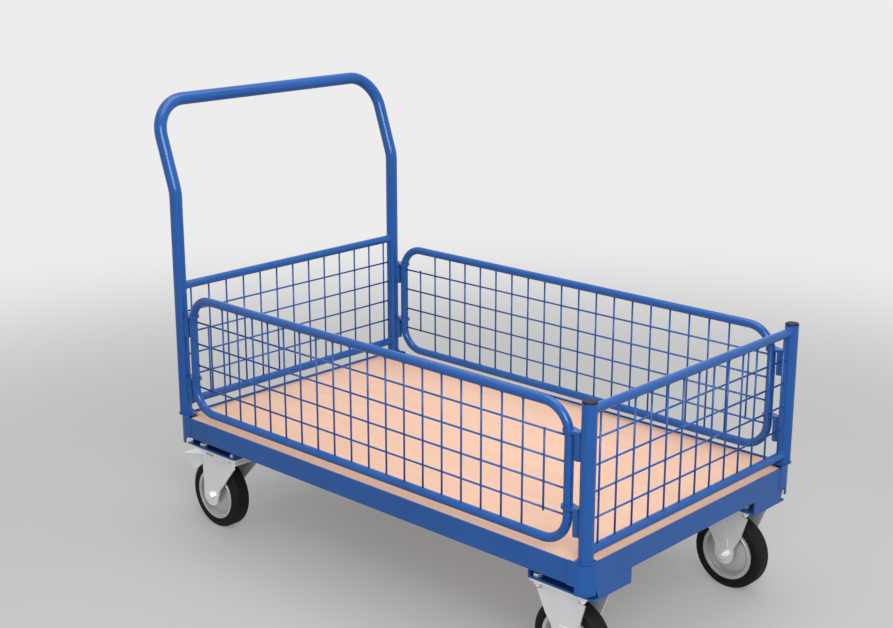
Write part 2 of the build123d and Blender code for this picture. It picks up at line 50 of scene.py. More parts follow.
body_of = {node: body for body, members in frame["record"]["behaviour"]["bodies"].items() for node in members}
slot_of = {entry["node"]: entry["material_slot"] for entry in frame["record"]["subparts"]}

bl_info = {
    "name": "Platform trolley",
    "version": (1, 0, 0),
    "blender": (4, 5, 0),
    "location": "3D View > Sidebar > Trolley",
    "description": "Dresses the platform trolley's solids, lights them and sets the camera",
    "category": "Object",
}

FLANKS = ("near", "far")
ENDS = ("front", "rear")


# Settings

def tint(name, description, default):
    """A colour setting."""
    return FloatVectorProperty(name=name, description=description, subtype="COLOR", size=3, min=0, max=1,
                               default=default)


def length(name, description, default):
    """A size setting in metres."""
    return FloatProperty(name=name, description=description, unit="LENGTH", min=0, precision=4,
                         default=default)


def share(name, description, default):
    """A setting between nothing and all."""
    return FloatProperty(name=name, description=description, subtype="FACTOR", min=0, max=1, default=default)


def count(name, description, least, default):
    """A setting for how many there are."""
    return IntProperty(name=name, description=description, min=least, default=default)


def position(name, description, default):
    """A place setting in metres."""
    return FloatVectorProperty(name=name, description=description, subtype="TRANSLATION", unit="LENGTH",
                               size=3, default=default)


def bearing(name, description, degrees):
    """An angle setting, its default given in degrees."""
    return FloatProperty(name=name, description=description, unit="ROTATION", default=radians(degrees))


def wattage(name, description, default):
    """A lamp's power setting."""
    return FloatProperty(name=name, description=description, unit="POWER", default=default)


class TrolleyFinish(bpy.types.PropertyGroup):
    """Colours and surface wear"""
    paint: tint("Blue paint", "Powder coat on the steel tubes and rails", (0.004, 0.081, 0.333))
    rubbed: tint("Rubbed paint", "Powder coat where its edges are rubbed", (0.10, 0.20, 0.45))
    board: tint("Board", "Ground colour of the beech board", (0.85, 0.545, 0.400))
    grain: tint("Board grain", "Darker streaks in the beech board", (0.70, 0.37, 0.235))
    zinc: tint("Zinc", "Bright zinc on castors and fasteners", (0.89, 0.895, 0.91))
    disc: tint("Wheel disc", "Pressed steel of the wheel discs", (0.60, 0.61, 0.61))
    rubber: tint("Rubber", "Tyre rubber", (0.006, 0.006, 0.0065))
    cap: tint("Cap", "Plastic caps on the front posts", (0.007, 0.010, 0.022))
    dust: tint("Dust", "Light dust on tyres and upward faces", (0.42, 0.40, 0.37))
    wear: share("Edge wear", "How far painted edges are rubbed", 0.22)


class TrolleyDetail(bpy.types.PropertyGroup):
    """Small sizes that the solids leave out"""
    sheet_ease: length("Sheet edge", "Rounding of folded and rolled steel edges", 0.0010)
    board_ease: length("Board edge", "Rounding of the board's edges", 0.0012)
    small_ease: length("Small edge", "Rounding on hooks, feet and pedals", 0.0005)
    bead: length("Weld bead", "Radius of the weld beads", 0.0021)
    bead_step: length("Bead step", "Distance between ripples of a weld bead", 0.0017)
    bead_back: length("Bead end", "How far a straight bead stops short of its edge", 0.005)
    nugget: length("Wire weld", "Radius of the weld where two wires cross", 0.0026)
    pitch: length("Wire pitch", "Distance between neighbouring wires", 0.05)
    wire: length("Wire radius", "Half the wire's thickness", 0.002)
    levels: count("Level wires", "Wires that run along each side", 2, 4)
    shoulder: length("Tyre shoulder", "Rounding between a tyre's wall and its tread", 0.009)
    seat: length("Tyre seat", "How far the tyre reaches in behind the disc's flange", 0.004)
    groove: length("Tyre line", "Width of the moulded lines round a tyre's wall", 0.0016)
    grooves: count("Tyre lines", "Moulded lines round each tyre wall", 0, 2)
    rolled: length("Rolled lip", "Radius of the rolled lips on the wheel discs", 0.0011)
    thread: length("Thread pitch", "Distance between the castor bolts' threads", 0.0015)


class TrolleyStage(bpy.types.PropertyGroup):
    """Camera, light and floor"""
    camera: position("Camera", "Where the camera stands", (2.0939, -2.2733, 1.4190))
    azimuth: bearing("Azimuth", "Camera's turn about the vertical", 43.23)
    elevation: bearing("Elevation", "Camera's tilt below the horizon", 15.73)
    focal: FloatProperty(name="Focal length", description="Focal length in image widths", default=1.6858)
    sensor: FloatProperty(name="Sensor", description="Sensor width in millimetres", default=36.0)
    floor: tint("Floor", "Floor colour", (0.415, 0.415, 0.413))
    floor_half: length("Floor half", "Distance from the floor's middle to its edges", 30.0)
    haze: share("Haze", "How much of the surround shows in the floor round the trolley", 0.24)
    surround: tint("Surround", "Pale surround that the floor fades into", (0.845, 0.845, 0.845))
    fade_start: length("Fade start", "Distance from the trolley where the floor starts to fade", 0.9)
    fade_end: length("Fade end", "Distance from the trolley where the floor is all surround", 3.5)
    sky: FloatProperty(name="Surround light", description="Strength of the light all round", min=0,
                       default=0.465)
    key: wattage("Key light", "Power of the large lamp at the front", 107.0)
    key_place: position("Key place", "Where the front lamp stands", (2.7, -2.1, 2.6))
    key_aim: length("Key aim", "Height above the floor's middle that the front lamp points at", 0.4)
    key_size: length("Key size", "Width of the front lamp", 1.9)
    top: wattage("Top light", "Power of the lamp overhead", 59.0)
    top_place: position("Top place", "Where the lamp overhead hangs", (0.2, 0.2, 3.4))
    top_aim: length("Top aim", "Height above the floor's middle that the lamp overhead points at", 0.3)
    top_size: length("Top size", "Width of the lamp overhead", 2.6)


def finish():
    """The colour settings."""
    return bpy.context.scene.trolley_finish


def detail():
    """The small sizes."""
    return bpy.context.scene.trolley_detail


# The frame's sizes

def middle(node):
    """The middle of a node's box."""
    low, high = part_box(node)
    return (low + high) / 2


def span(node):
    """The size of a node's box."""
    low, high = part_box(node)
    return high - low


def merged_copy(node):
    """A node's triangles joined into one skin, flat faces as single polygons."""
    same_spot = 2e-6
    flat = radians(0.4)
    shape = bmesh.new()
    shape.from_mesh(cad[node].data)
    bmesh.ops.remove_doubles(shape, verts=shape.verts, dist=same_spot)
    bmesh.ops.dissolve_limit(shape, angle_limit=flat, verts=shape.verts, edges=shape.edges)
    return shape


def lumps(node):
    """The lowest and highest corners of each separate solid in a node."""
    shape = merged_copy(node)
    left = set(shape.verts)
    boxes = []
    while left:
        linked = [left.pop()]
        for vert in linked:
            fresh = {edge.other_vert(vert) for edge in vert.link_edges} & left
            left -= fresh
            linked += fresh
        corners = [[pick(vert.co[axis] for vert in linked) for axis in range(3)] for pick in (min, max)]
        boxes.append([Vector(corner) for corner in corners])
    shape.free()
    return sorted(boxes, key=lambda box: tuple(box[0]))


# Shader graphs

def add(tree, kind, inputs=None, **settings):
    """One node with its settings; inputs take values or sockets to link."""
    made = tree.nodes.new(kind)
    for name, value in settings.items():
        setattr(made, name, value)
    for name, value in (inputs or {}).items():
        if isinstance(value, bpy.types.NodeSocket):
            tree.links.new(value, made.inputs[name])
        else:
            made.inputs[name].default_value = value
    return made


def mix(tree, amount, first, second):
    """A colour mixed from two colours or sockets."""
    sources = {0: amount}
    for index, value in ((6, first), (7, second)):
        sources[index] = value if isinstance(value, bpy.types.NodeSocket) else (*value, 1)
    return add(tree, "ShaderNodeMix", sources, data_type="RGBA").outputs[2]


def maths(tree, operation, first, second=0.0):
    """A number worked out from two."""
    return add(tree, "ShaderNodeMath", {0: first, 1: second}, operation=operation).outputs[0]


def remap(tree, value, low, high, to_low=0.0, to_high=1.0, ease="LINEAR"):
    """A number moved from one range to another, held at its ends."""
    return add(tree, "ShaderNodeMapRange", {0: value, 1: low, 2: high, 3: to_low, 4: to_high},
               interpolation_type=ease).outputs[0]


def between(tree, amount, low, high):
    """A number part of the way from one to another, by an amount from 0 to 1."""
    return remap(tree, amount, 0, 1, low, high)


def noise(tree, vector, scale, depth=3.0, roughness=0.55):
    """Noise as a number about one half."""
    return add(tree, "ShaderNodeTexNoise", {"Vector": vector, "Scale": scale, "Detail": depth,
                                            "Roughness": roughness}).outputs[0]


def group(name, inputs, outputs):
    """An empty shader group with number sockets; returns the tree, its input node and its output node."""
    tree = bpy.data.node_groups.new(name, "ShaderNodeTree")
    for label, default in inputs.items():
        socket = tree.interface.new_socket(name=label, in_out="INPUT", socket_type="NodeSocketFloat")
        socket.default_value = default
    for label in outputs:
        tree.interface.new_socket(name=label, in_out="OUTPUT", socket_type="NodeSocketFloat")
    return tree, tree.nodes.new("NodeGroupInput"), tree.nodes.new("NodeGroupOutput")


def edge_wear_group():
    """Mask of rubbed edges: where a rounded normal leaves the true one, broken up by noise."""
    tree, given, out = group("Edge wear", {"Radius": 0.0015, "Amount": 0.3}, ["Mask"])
    place = add(tree, "ShaderNodeTexCoord").outputs["Object"]
    rounded = add(tree, "ShaderNodeBevel", {"Radius": given.outputs["Radius"]}, samples=4).outputs[0]
    true = add(tree, "ShaderNodeNewGeometry").outputs["Normal"]
    dot = add(tree, "ShaderNodeVectorMath", {0: rounded, 1: true}, operation="DOT_PRODUCT").outputs["Value"]
    edge = remap(tree, maths(tree, "SUBTRACT", 1.0, dot), 0.02, 0.20)
    patches = remap(tree, noise(tree, place, 38.0, depth=5.0, roughness=0.65), 0.50, 0.66)
    mask = maths(tree, "MULTIPLY", maths(tree, "MULTIPLY", edge, patches), given.outputs["Amount"])
    tree.links.new(mask, out.inputs["Mask"])
    return tree


def dust_group():
    """Mask of dust on faces that look upwards, and a share of it all round."""
    tree, given, out = group("Dust", {"Amount": 0.2, "All round": 0.2, "Scale": 9.0}, ["Mask"])
    coords = add(tree, "ShaderNodeTexCoord")
    up = add(tree, "ShaderNodeSeparateXYZ", {0: coords.outputs["Normal"]}).outputs["Z"]
    facing = maths(tree, "MAXIMUM", remap(tree, up, 0.35, 1.0), given.outputs["All round"])
    clouds = noise(tree, coords.outputs["Object"], given.outputs["Scale"], depth=6.0, roughness=0.7)
    patches = remap(tree, clouds, 0.38, 0.72)
    mask = maths(tree, "MULTIPLY", maths(tree, "MULTIPLY", facing, patches), given.outputs["Amount"])
    tree.links.new(mask, out.inputs["Mask"])
    return tree


def speckle_group():
    """Fine unevenness: a height for bump and a slow tone shift for colour and roughness."""
    tree, given, out = group("Speckle", {"Fine scale": 900.0, "Slow scale": 6.0}, ["Height", "Tone"])
    place = add(tree, "ShaderNodeTexCoord").outputs["Object"]
    tree.links.new(noise(tree, place, given.outputs["Fine scale"], depth=2.0), out.inputs["Height"])
    slow = noise(tree, place, given.outputs["Slow scale"], depth=4.0)
    tree.links.new(remap(tree, slow, 0.3, 0.7), out.inputs["Tone"])
    return tree


GROUP_MAKERS = {"Edge wear": edge_wear_group, "Dust": dust_group, "Speckle": speckle_group}


def use(tree, name, **values):
    """Places a shared shader group in a material, with its numbers; it is made the first time."""
    inner = bpy.data.node_groups.get(name) or GROUP_MAKERS[name]()
    made = add(tree, "ShaderNodeGroup", node_tree=inner)
    for label, value in values.items():
        made.inputs[label.replace("_", " ").capitalize()].default_value = value
    return made.outputs


def material(name):
    """A new material with its tree and its shader."""
    made = bpy.data.materials.new(name)
    made.use_nodes = True
    return made, made.node_tree, made.node_tree.nodes["Principled BSDF"]


def shade(tree, shader, color, roughness, height, bump, distance):
    """Links colour, roughness and bump to the shader."""
    tree.links.new(color, shader.inputs["Base Color"])
    tree.links.new(roughness, shader.inputs["Roughness"])
    bumped = add(tree, "ShaderNodeBump", {"Strength": bump, "Distance": distance, "Height": height})
    tree.links.new(bumped.outputs[0], shader.inputs["Normal"])


def scaled(color, factor):
    """A colour made darker or lighter."""
    return tuple(min(1.0, channel * factor) for channel in color)


def blue_paint():
    """Powder coat: slight orange peel, slow tone shift, rubbed edges and a little dust."""
    made, tree, shader = material("Blue powder coat")
    speckle = use(tree, "Speckle", fine_scale=1400.0, slow_scale=5.0)
    wear = use(tree, "Edge wear", radius=0.0016, amount=finish().wear)["Mask"]
    dust = use(tree, "Dust", amount=0.05, all_round=0.08)["Mask"]
    paint = mix(tree, speckle["Tone"], scaled(finish().paint, 0.92), scaled(finish().paint, 1.08))
    color = mix(tree, dust, mix(tree, wear, paint, finish().rubbed), finish().dust)
    clean = between(tree, speckle["Tone"], 0.15, 0.22)
    rough = maths(tree, "ADD", clean, maths(tree, "MULTIPLY", dust, 0.5))
    shade(tree, shader, color, rough, speckle["Height"], bump=0.06, distance=0.0006)
    shader.inputs["Specular IOR Level"].default_value = 0.40
    return made


def beech_board():
    """Sealed beech: long soft streaks, fine fibres and short dark flecks along the trolley."""
    made, tree, shader = material("Beech board")
    place = add(tree, "ShaderNodeTexCoord").outputs["Object"]

    def streaks(scale, size, depth=4.0):
        stretched = add(tree, "ShaderNodeMapping", {"Vector": place, "Scale": scale}).outputs[0]
        return noise(tree, stretched, size, depth)

    veins = remap(tree, streaks((0.7, 9.0, 9.0), 3.0, 6.0), 0.36, 0.68)
    fibres = remap(tree, streaks((6.0, 260.0, 260.0), 3.0), 0.35, 0.65)
    flecks = remap(tree, streaks((55.0, 420.0, 420.0), 2.0, 2.0), 0.62, 0.74)
    ground = mix(tree, veins, finish().board, scaled(finish().board, 0.93))
    streaked = mix(tree, maths(tree, "MULTIPLY", fibres, 0.20), ground, finish().grain)
    flecked = mix(tree, maths(tree, "MULTIPLY", flecks, 0.5), streaked, scaled(finish().grain, 0.75))
    dust = use(tree, "Dust", amount=0.04, all_round=0.0)["Mask"]
    rough = between(tree, fibres, 0.50, 0.62)
    color = mix(tree, dust, flecked, finish().dust)
    shade(tree, shader, color, rough, fibres, bump=0.05, distance=0.0004)
    shader.inputs["Specular IOR Level"].default_value = 0.25
    return made


def bright_metal(name, tone, smoothest, roughest, metallic):
    """Zinc plated steel: cloudy crystal tones, brighter rubbed edges and a fine grain."""
    made, tree, shader = material(name)
    speckle = use(tree, "Speckle", fine_scale=700.0, slow_scale=26.0)
    wear = use(tree, "Edge wear", radius=0.0012, amount=0.5)["Mask"]
    dust = use(tree, "Dust", amount=0.06, all_round=0.10, scale=5.0)["Mask"]
    ground = mix(tree, speckle["Tone"], scaled(tone, 0.93), tone)
    worn = mix(tree, wear, ground, scaled(tone, 1.15))
    rough = between(tree, speckle["Tone"], smoothest, roughest)
    color = mix(tree, dust, worn, finish().dust)
    shade(tree, shader, color, rough, speckle["Height"], bump=0.05, distance=0.0003)
    shader.inputs["Metallic"].default_value = metallic
    return made


def bright_zinc():
    """Zinc on castors and fasteners."""
    return bright_metal("Bright zinc", finish().zinc, smoothest=0.28, roughest=0.40, metallic=0.55)


def disc_steel():
    """Duller metal of the wheel discs."""
    return bright_metal("Pressed disc steel", finish().disc, smoothest=0.36, roughest=0.50, metallic=0.75)


def tyre_rubber():
    """Black solid rubber with a fine moulded grain and a breath of dust."""
    made, tree, shader = material("Tyre rubber")
    speckle = use(tree, "Speckle", fine_scale=500.0, slow_scale=14.0)
    dust = use(tree, "Dust", amount=0.012, all_round=0.5, scale=22.0)["Mask"]
    tone = mix(tree, speckle["Tone"], finish().rubber, scaled(finish().rubber, 1.6))
    rough = between(tree, speckle["Tone"], 0.58, 0.72)
    color = mix(tree, dust, tone, finish().dust)
    shade(tree, shader, color, rough, speckle["Height"], bump=0.12, distance=0.0005)
    shader.inputs["Specular IOR Level"].default_value = 0.16
    return made


def cap_plastic():
    """Moulded plastic with a spark grain."""
    made, tree, shader = material("Cap plastic")
    speckle = use(tree, "Speckle", fine_scale=1600.0, slow_scale=40.0)
    wear = use(tree, "Edge wear", radius=0.001, amount=0.4)["Mask"]
    tone = mix(tree, speckle["Tone"], finish().cap, scaled(finish().cap, 1.4))
    rough = between(tree, speckle["Tone"], 0.40, 0.50)
    color = mix(tree, wear, tone, scaled(finish().cap, 3.0))
    shade(tree, shader, color, rough, speckle["Height"], bump=0.12, distance=0.0004)
    shader.inputs["Specular IOR Level"].default_value = 0.2
    return made


MATERIAL_MAKERS = {
    "blue_paint": blue_paint,
    "deck_board": beech_board,
    "zinc_steel": bright_zinc,
    "rim_steel": disc_steel,
    "tyre_rubber": tyre_rubber,
    "cap_plastic": cap_plastic,
}
slot_materials = {}


def slot_material(slot):
    """The material of a slot, made the first time that it is asked for."""
    if slot not in slot_materials:
        slot_materials[slot] = MATERIAL_MAKERS[slot]()
    return slot_materials[slot]


# Meshes

def place_object(name, mesh):
    """A mesh object at the origin."""
    made = bpy.data.objects.new(name, mesh)
    bpy.context.scene.collection.objects.link(made)
    return made


def from_bmesh(name, shape, angle=35.0):
    """A mesh with smooth faces, and sharp edges where faces meet at more than an angle."""
    mesh = bpy.data.meshes.new(name)
    shape.to_mesh(mesh)
    shape.free()
    mesh.polygons.foreach_set("use_smooth", [True] * len(mesh.polygons))
    mesh.set_sharp_from_angle(angle=radians(angle))
    return mesh


def bake(made):
    """Turns an object with modifiers into a plain mesh."""
    bpy.context.view_layer.update()
    evaluated = made.evaluated_get(bpy.context.evaluated_depsgraph_get())
    mesh = bpy.data.meshes.new_from_object(evaluated)
    made.modifiers.clear()
    old = made.data
    made.data = mesh
    mesh.name = made.name
    bpy.data.meshes.remove(old)
    if not mesh.polygons:
        raise RuntimeError(f"{made.name} came out empty")
    return made


def publish(made, body, slot, *nodes):
    """Gives a piece its material and ties it to the frame."""
    made.data.materials.clear()
    made.data.materials.append(slot_material(slot))
    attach(made, body)
    if nodes:
        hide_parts(*nodes)
    return made


def eased(node, width=0.0):
    """A node with its sharp edges rounded, as folding, rolling or moulding leaves them."""
    mesh = from_bmesh(f"{node}_skin", merged_copy(node))
    if "custom_normal" in mesh.attributes:
        mesh.attributes.remove(mesh.attributes["custom_normal"])
    made = place_object(f"{node}_skin", mesh)
    if width:
        bevel = made.modifiers.new("Ease", "BEVEL")
        bevel.width = width
        bevel.segments = 2
        bevel.limit_method = "ANGLE"
        bevel.angle_limit = radians(38)
        bevel.harden_normals = True
        bake(made)
    return publish(made, body_of[node], slot_of[node], node)


def lathe(shape, outline, steps, place):
    """Turns a closed outline of (radius, across) about an axle along Y at a place."""
    rings = []
    for step in range(steps):
        angle = 2 * pi * step / steps
        spots = [place + Vector((r * cos(angle), y, r * sin(angle))) for r, y in outline]
        rings.append([shape.verts.new(spot) for spot in spots])
    for first, second in zip(rings, rings[1:] + rings[:1]):
        for index in range(len(outline)):
            after = (index + 1) % len(outline)
            shape.faces.new((first[index], first[after], second[after], second[index]))


def arc(center, radius, start, end, steps):
    """Points on an arc, angles in degrees."""
    turns = [radians(start + (end - start) * step / steps) for step in range(steps + 1)]
    return [(center[0] + radius * cos(turn), center[1] + radius * sin(turn)) for turn in turns]


# Geometry Nodes

def geometry_tree(name, inputs):
    """An empty geometry tree with named inputs; returns tree, input node, output node and socket names."""
    tree = bpy.data.node_groups.new(name, "GeometryNodeTree")
    tree.interface.new_socket(name="Geometry", in_out="INPUT", socket_type="NodeSocketGeometry")
    tree.interface.new_socket(name="Geometry", in_out="OUTPUT", socket_type="NodeSocketGeometry")
    keys = {}
    for label, kind in inputs.items():
        made = tree.interface.new_socket(name=label, in_out="INPUT", socket_type=f"NodeSocket{kind}")
        keys[label] = made.identifier
    return tree, tree.nodes.new("NodeGroupInput"), tree.nodes.new("NodeGroupOutput"), keys


def end_tree(tree, given, out, geometry, smooth=True):
    """Realizes instances, shades them smooth if asked and sets the material."""
    last = add(tree, "GeometryNodeRealizeInstances", {"Geometry": geometry}).outputs[0]
    if smooth:
        last = add(tree, "GeometryNodeSetShadeSmooth", {"Geometry": last}).outputs[0]
    coated = add(tree, "GeometryNodeSetMaterial", {"Geometry": last, "Material": given.outputs["Material"]})
    tree.links.new(coated.outputs[0], out.inputs[0])


def grown(name, mesh, tree, keys, values):
    """An object whose mesh a geometry tree grows from a start mesh."""
    made = place_object(name, mesh)
    modifier = made.modifiers.new("Grow", "NODES")
    modifier.node_group = tree
    for label, value in values.items():
        modifier[keys[label]] = value
    return bake(made)


def ball(tree, radius):
    """A small round lump."""
    return add(tree, "GeometryNodeMeshIcoSphere", {"Radius": radius, "Subdivisions": 2}).outputs[0]


def on_points(tree, points, piece, turn=(0, 0, 0), size=(1, 1, 1)):
    """A copy of a piece on each point."""
    return add(tree, "GeometryNodeInstanceOnPoints", {
        "Points": points, "Instance": piece, "Rotation": turn, "Scale": size}).outputs[0]


def wire_grid_tree():
    """Crossed wires in two layers with a weld at each crossing and at each end."""
    tree, given, out, keys = geometry_tree("Wire grid", {
        "Uprights": "Int", "Levels": "Int", "Pitch": "Float", "Upright length": "Float",
        "Outer length": "Float", "Level length": "Float", "Wire radius": "Float", "Layer": "Float",
        "Weld radius": "Float", "Turn": "Float", "Place": "Vector", "Material": "Material"})
    put = given.outputs
    wire_sides = 12
    crossing_weld = (0.85, 0.95, 0.85)
    upright_weld = (1.45, 1.45, 0.9)
    level_weld = (0.9, 1.45, 1.45)

    def times(first, second):
        return maths(tree, "MULTIPLY", first, second)

    def vector(x=0.0, y=0.0, z=0.0):
        return add(tree, "ShaderNodeCombineXYZ", {0: x, 1: y, 2: z}).outputs[0]

    def line(total, start, step):
        return add(tree, "GeometryNodeMeshLine", {
            "Count": total, "Start Location": start, "Offset": step}).outputs[0]

    def bar(total):
        return add(tree, "GeometryNodeMeshCylinder", {
            "Vertices": wire_sides, "Radius": put["Wire radius"], "Depth": total}).outputs["Mesh"]

    def half_run(total):
        return times(times(maths(tree, "SUBTRACT", total, 1.0), put["Pitch"]), -0.5)

    along = vector(put["Pitch"])
    upward = vector(0.0, 0.0, put["Pitch"])
    front = times(put["Layer"], -1.0)
    inner_count = maths(tree, "SUBTRACT", put["Uprights"], 2.0)
    inner_start = half_run(inner_count)
    outer_start = half_run(put["Uprights"])
    low_level = half_run(put["Levels"])
    weld = ball(tree, put["Weld radius"])
    rows = on_points(tree, line(put["Uprights"], vector(outer_start), along),
                     line(put["Levels"], vector(0.0, 0.0, low_level), upward))
    crossings = add(tree, "GeometryNodeRealizeInstances", {"Geometry": rows}).outputs[0]
    inner = line(inner_count, vector(inner_start, front), along)
    outer = line(2, vector(outer_start, front), vector(times(outer_start, -2.0)))
    levels = line(put["Levels"], vector(0.0, put["Layer"], low_level), upward)
    parts = [
        on_points(tree, inner, bar(put["Upright length"])),
        on_points(tree, outer, bar(put["Outer length"])),
        on_points(tree, levels, bar(put["Level length"]), turn=(0, pi / 2, 0)),
        on_points(tree, crossings, weld, size=crossing_weld),
    ]
    for half in (0.5, -0.5):
        height = times(put["Upright length"], half)
        upright_ends = line(inner_count, vector(inner_start, front, height), along)
        parts.append(on_points(tree, upright_ends, weld, size=upright_weld))
        reach = times(put["Level length"], half)
        level_ends = line(put["Levels"], vector(reach, put["Layer"], low_level), upward)
        parts.append(on_points(tree, level_ends, weld, size=level_weld))
    joined = tree.nodes.new("GeometryNodeJoinGeometry")
    for part in parts:
        tree.links.new(part, joined.inputs[0])
    moved = add(tree, "GeometryNodeTransform", {
        "Geometry": joined.outputs[0], "Translation": put["Place"],
        "Rotation": vector(0.0, 0.0, put["Turn"])})
    end_tree(tree, given, out, moved.outputs[0])
    return tree, keys


def copies_tree():
    """Copies of one piece at the start mesh's points, each turned by the point's turn."""
    tree, given, out, keys = geometry_tree("Placed copies", {"Piece": "Object", "Material": "Material"})
    piece = add(tree, "GeometryNodeObjectInfo", {"Object": given.outputs["Piece"]}).outputs["Geometry"]
    turn = add(tree, "GeometryNodeInputNamedAttribute", {"Name": "turn"}, data_type="FLOAT_VECTOR").outputs[0]
    copies = on_points(tree, given.outputs["Geometry"], piece, turn)
    end_tree(tree, given, out, copies, smooth=False)
    return tree, keys


def bead_tree():
    """Overlapping ripples along the start mesh's edges, as a hand weld leaves them."""
    tree, given, out, keys = geometry_tree("Weld bead", {
        "Radius": "Float", "Step": "Float", "Material": "Material"})
    flattened = (1.0, 1.0, 0.75)
    path = add(tree, "GeometryNodeMeshToCurve", {"Mesh": given.outputs["Geometry"]}).outputs[0]
    even = add(tree, "GeometryNodeCurveToPoints", {"Curve": path, "Length": given.outputs["Step"]},
               mode="LENGTH").outputs
    ripple = ball(tree, given.outputs["Radius"])
    end_tree(tree, given, out, on_points(tree, even["Points"], ripple, even["Rotation"], flattened))
    return tree, keys


def copies_of(name, piece, places, body, slot, *nodes):
    """Copies of a piece on one body at places of (point, turn); the pattern piece goes away."""
    mesh = bpy.data.meshes.new(name)
    mesh.from_pydata([place for place, turn in places], [], [])
    turns = mesh.attributes.new("turn", "FLOAT_VECTOR", "POINT")
    turns.data.foreach_set("vector", [value for place, turn in places for value in turn])
    tree, keys = copies_tree()
    made = grown(name, mesh, tree, keys, {"Piece": piece, "Material": slot_material(slot)})
    bpy.data.objects.remove(piece)
    return publish(made, body, slot, *nodes)


def hex_piece(name, flats, head, shank_radius, shank, thread=0.0):
    """A hexagon above z = 0 with its corners turned off, and a round shank below, threaded if asked."""
    sides = 24
    corner = flats / sqrt(3)
    tip = 0.8 * shank_radius
    taper = 0.2 * shank_radius
    root = 0.9 * shank_radius
    crown = [(corner, head - 0.12 * flats), (0.53 * flats, head - 0.03 * flats), (0.475 * flats, head)]
    shape = bmesh.new()

    def ring(reach, z, hexagonal=False):
        points = []
        for step in range(sides):
            angle = 2 * pi * step / sides
            flat = flats / 2 / cos((angle % (pi / 3)) - pi / 6)
            radius = min(flat, reach) if hexagonal else reach
            points.append(shape.verts.new((radius * cos(angle), radius * sin(angle), z)))
        return points

    rings = [ring(tip, -shank), ring(shank_radius, taper - shank)]
    if thread:
        turns = int((shank - taper) / thread) - 1
        for turn in range(turns, 0, -1):
            rings.append(ring(root, -thread * (turn + 0.5)))
            rings.append(ring(shank_radius, -thread * turn))
    rings += [ring(shank_radius, 0.0), ring(corner, 0.0, hexagonal=True)]
    rings += [ring(reach, z, hexagonal=True) for reach, z in crown]
    for first, second in zip(rings, rings[1:]):
        for step in range(sides):
            after = (step + 1) % sides
            shape.faces.new((first[step], first[after], second[after], second[step]))
    shape.faces.new(list(reversed(rings[0])))
    shape.faces.new(rings[-1])
    bmesh.ops.recalc_face_normals(shape, faces=shape.faces)
    return place_object(name, from_bmesh(name, shape, angle=30.0))


# Operators

class TROLLEY_OT_inner(bpy.types.Operator):
    """Finishes on the solids, for those that stay as they are"""
    bl_idname = "trolley.inner"
    bl_label = "Inner parts"

    def execute(self, context):
        for node, made in cad.items():
            made.data.materials.clear()
            made.data.materials.append(slot_material(slot_of[node]))
        return {"FINISHED"}


class TROLLEY_OT_platform(bpy.types.Operator):
    """Rails, corners, bearers and castor brackets with rounded folds"""
    bl_idname = "trolley.platform"
    bl_label = "Platform steel"

    def execute(self, context):
        nodes = [f"{flank}_side_rail" for flank in FLANKS]
        nodes += [f"{end}_{piece}" for end in ENDS for piece in ("end_rail", "castor_brackets")]
        nodes += [f"{end}_{flank}_corner" for end in ENDS for flank in FLANKS]
        for node in [*nodes, "deck_bearers"]:
            eased(node, detail().sheet_ease)
        return {"FINISHED"}


class TROLLEY_OT_deck(bpy.types.Operator):
    """Beech board and the screws that hold it from below"""
    bl_idname = "trolley.deck"
    bl_label = "Deck board"

    def execute(self, context):
        eased("deck_board", detail().board_ease)
        eased("deck_screws", detail().small_ease)
        return {"FINISHED"}


class TROLLEY_OT_handle(bpy.types.Operator):
    """Bent handle with its panel tubes"""
    bl_idname = "trolley.handle"
    bl_label = "Handle"

    def execute(self, context):
        for node in ("handle_tube", "handle_top_tube", "handle_bottom_tube"):
            eased(node)
        return {"FINISHED"}


class TROLLEY_OT_front(bpy.types.Operator):
    """Front posts with their caps, the feet of all four posts and the front panel's tubes"""
    bl_idname = "trolley.front"
    bl_label = "Front frame"

    def execute(self, context):
        for node in ("front_top_tube", "front_bottom_tube", "front_near_post", "front_far_post"):
            eased(node)
        for node in ("post_caps", "post_feet", "post_bolts"):
            eased(node, detail().small_ease)
        return {"FINISHED"}


class TROLLEY_OT_panels(bpy.types.Operator):
    """Lift-out side panel frames, their hooks and the sleeves on the posts"""
    bl_idname = "trolley.panels"
    bl_label = "Side panels"

    def execute(self, context):
        for flank in FLANKS:
            eased(f"{flank}_panel_frame")
            eased(f"{flank}_panel_hooks", detail().small_ease)
        eased("hook_sleeves", detail().small_ease)
        return {"FINISHED"}


class TROLLEY_OT_wires(bpy.types.Operator):
    """Welded wire grids of the four sides"""
    bl_idname = "trolley.wires"
    bl_label = "Wire grids"
    pressed = 0.95

    def execute(self, context):
        tree, keys = wire_grid_tree()
        turns = {"near_panel_mesh": 0.0, "far_panel_mesh": pi, "front_mesh": pi / 2, "handle_mesh": -pi / 2}
        for node, turn in turns.items():
            self.grid(tree, keys, node, turn)
        return {"FINISHED"}

    def grid(self, tree, keys, node, turn):
        """One side's wires, pressed a little into each other where they cross.

        A lift-out panel's outer uprights stop at its level wires.
        """
        size = span(node)
        pitch = detail().pitch
        levels = detail().levels
        wire = detail().wire
        if node.endswith("panel_mesh"):
            run = size.x
            uprights = 2 * int(run / 2 / pitch)
            outer = (levels - 1) * pitch + 4 * wire
        else:
            run = size.y
            uprights = 2 * int(run / 2 / pitch) + 1
            outer = size.z
        made = grown(f"{node}_wires", bpy.data.meshes.new(node), tree, keys, {
            "Uprights": uprights, "Levels": levels, "Pitch": pitch, "Upright length": size.z,
            "Outer length": outer, "Level length": run, "Wire radius": wire, "Layer": self.pressed * wire,
            "Weld radius": detail().nugget, "Turn": turn, "Place": middle(node),
            "Material": slot_material(slot_of[node])})
        publish(made, body_of[node], slot_of[node], node)


